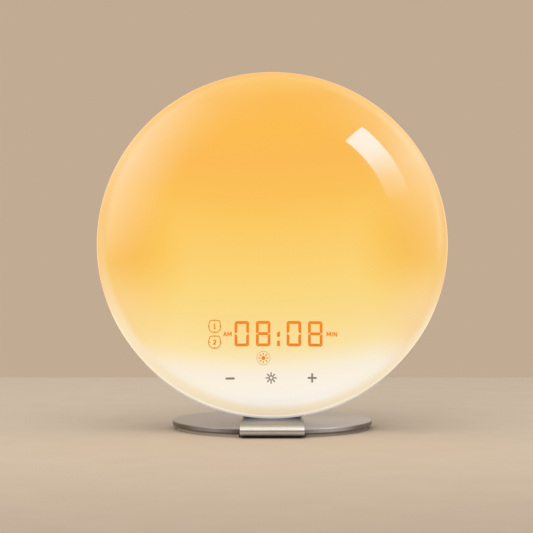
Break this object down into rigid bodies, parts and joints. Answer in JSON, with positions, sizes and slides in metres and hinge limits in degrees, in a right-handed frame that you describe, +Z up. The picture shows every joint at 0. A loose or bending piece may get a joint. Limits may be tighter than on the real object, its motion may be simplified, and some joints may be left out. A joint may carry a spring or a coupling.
{
  "type": "sunrise alarm clock",
  "caption": "Round domed wake-up light with a clock display and touch keys low on its glowing face, leaning back on a folded steel strip over a round steel base.",
  "frame": {"origin": "centre of the round base plate on the surface that the clock stands on", "axes": "+Z up, the glowing face looks along -Y and leans back, +X to the right of someone facing the clock"},
  "size_m": [0.2, 0.1172, 0.2046],
  "materials": {
    "opal_diffuser": "glossy opal, lit from inside in warm amber",
    "light_grey_abs": "fine satin moulding",
    "key_white": "satin",
    "white_reflector": "matte white",
    "white_board": "white solder mask",
    "green_board": "green solder mask",
    "warm_led": "phosphor gel in a white frame",
    "colour_led": "clear gel in a white frame",
    "display_black": "matte dark grey",
    "display_orange": "lit orange bars",
    "chip_black": "matte epoxy",
    "black_plastic": "matte",
    "ivory_nylon": "satin",
    "capacitor_can": "drawn can",
    "tinned_pin": "tinned",
    "gold_contact": "flash gold on spring steel",
    "brass_insert": "knurled and turned",
    "cell_steel": "nickel plated",
    "zinc_screw": "zinc plated",
    "steel_screw": "stainless",
    "speaker_steel": "pressed steel",
    "cone_paper": "pressed paper",
    "ferrite": "ground ferrite",
    "black_foam": "closed-cell foam",
    "black_rubber": "soft non-slip foam rubber",
    "red_lead": "insulated wire",
    "ivory_lead": "insulated ribbon",
    "satin_steel": "satin stainless steel",
    "brushed_strip": "brushed stainless steel"
  },
  "bodies": {
    "clock": {"front_diffuser": "opal_diffuser", "rear_shell": "light_grey_abs", "reflector_tray": "white_reflector", "led_board": "white_board", "warm_leds": "warm_led", "colour_leds": "colour_led", "tray_screws": "zinc_screw", "light_shield": "white_reflector", "display_board": "green_board", "display_module": "display_black", "display_segments": "display_orange", "display_pins": "tinned_pin", "touch_springs": "gold_contact", "display_screws": "zinc_screw", "main_board": "green_board", "main_board_screws": "zinc_screw", "board_chips": "chip_black", "board_capacitors": "capacitor_can", "board_connectors": "ivory_nylon", "tact_switches": "black_plastic", "speaker_gasket": "black_foam", "speaker_frame": "speaker_steel", "speaker_cone": "cone_paper", "speaker_magnet": "ferrite", "speaker_screws": "zinc_screw", "speaker_leads": "red_lead", "led_lead": "ivory_lead", "display_lead": "ivory_lead", "coin_cell": "cell_steel", "battery_contact_plus": "gold_contact", "battery_contact_minus": "gold_contact", "dc_jack": "black_plastic", "dc_jack_pin": "tinned_pin", "shell_screws": "zinc_screw", "threaded_inserts": "brass_insert", "lamp_screws": "steel_screw", "stand_base_plate": "satin_steel", "stand_foot_pad": "black_rubber", "stand_strip": "brushed_strip", "strip_shim": "black_foam", "stand_screws": "steel_screw"},
    "door": {"battery_door": "light_grey_abs"},
    "key_1_body": {"key_1": "key_white", "plunger_1": "black_plastic"},
    "key_2_body": {"key_2": "key_white", "plunger_2": "black_plastic"},
    "key_3_body": {"key_3": "key_white", "plunger_3": "black_plastic"},
    "key_4_body": {"key_4": "key_white", "plunger_4": "black_plastic"},
    "key_5_body": {"key_5": "key_white", "plunger_5": "black_plastic"},
    "key_6_body": {"key_6": "key_white", "plunger_6": "black_plastic"}
  },
  "joints": [
    {"name": "key_1_press", "type": "slide", "parent": "clock", "child": "key_1_body", "axis": [0, -0.9781, 0.2079], "range_m": [0, 0.0005], "stiffness_N_per_m": 1500, "springref_m": -0.0003},
    {"name": "key_2_press", "type": "slide", "parent": "clock", "child": "key_2_body", "axis": [0, -0.9781, 0.2079], "range_m": [0, 0.0005], "stiffness_N_per_m": 1500, "springref_m": -0.0003},
    {"name": "key_3_press", "type": "slide", "parent": "clock", "child": "key_3_body", "axis": [0, -0.9781, 0.2079], "range_m": [0, 0.0005], "stiffness_N_per_m": 1500, "springref_m": -0.0003},
    {"name": "key_4_press", "type": "slide", "parent": "clock", "child": "key_4_body", "axis": [0, -0.9781, 0.2079], "range_m": [0, 0.0005], "stiffness_N_per_m": 1500, "springref_m": -0.0003},
    {"name": "key_5_press", "type": "slide", "parent": "clock", "child": "key_5_body", "axis": [0, -0.9781, 0.2079], "range_m": [0, 0.0005], "stiffness_N_per_m": 1500, "springref_m": -0.0003},
    {"name": "key_6_press", "type": "slide", "parent": "clock", "child": "key_6_body", "axis": [0, -0.9781, 0.2079], "range_m": [0, 0.0005], "stiffness_N_per_m": 1500, "springref_m": -0.0003},
    {"name": "battery_door_turn", "type": "hinge", "parent": "clock", "child": "door", "pos_m": [-0.036, 0.02315, 0.07109], "axis": [0, 0.9781, -0.2079], "range_deg": [0, 45]}
  ]
}
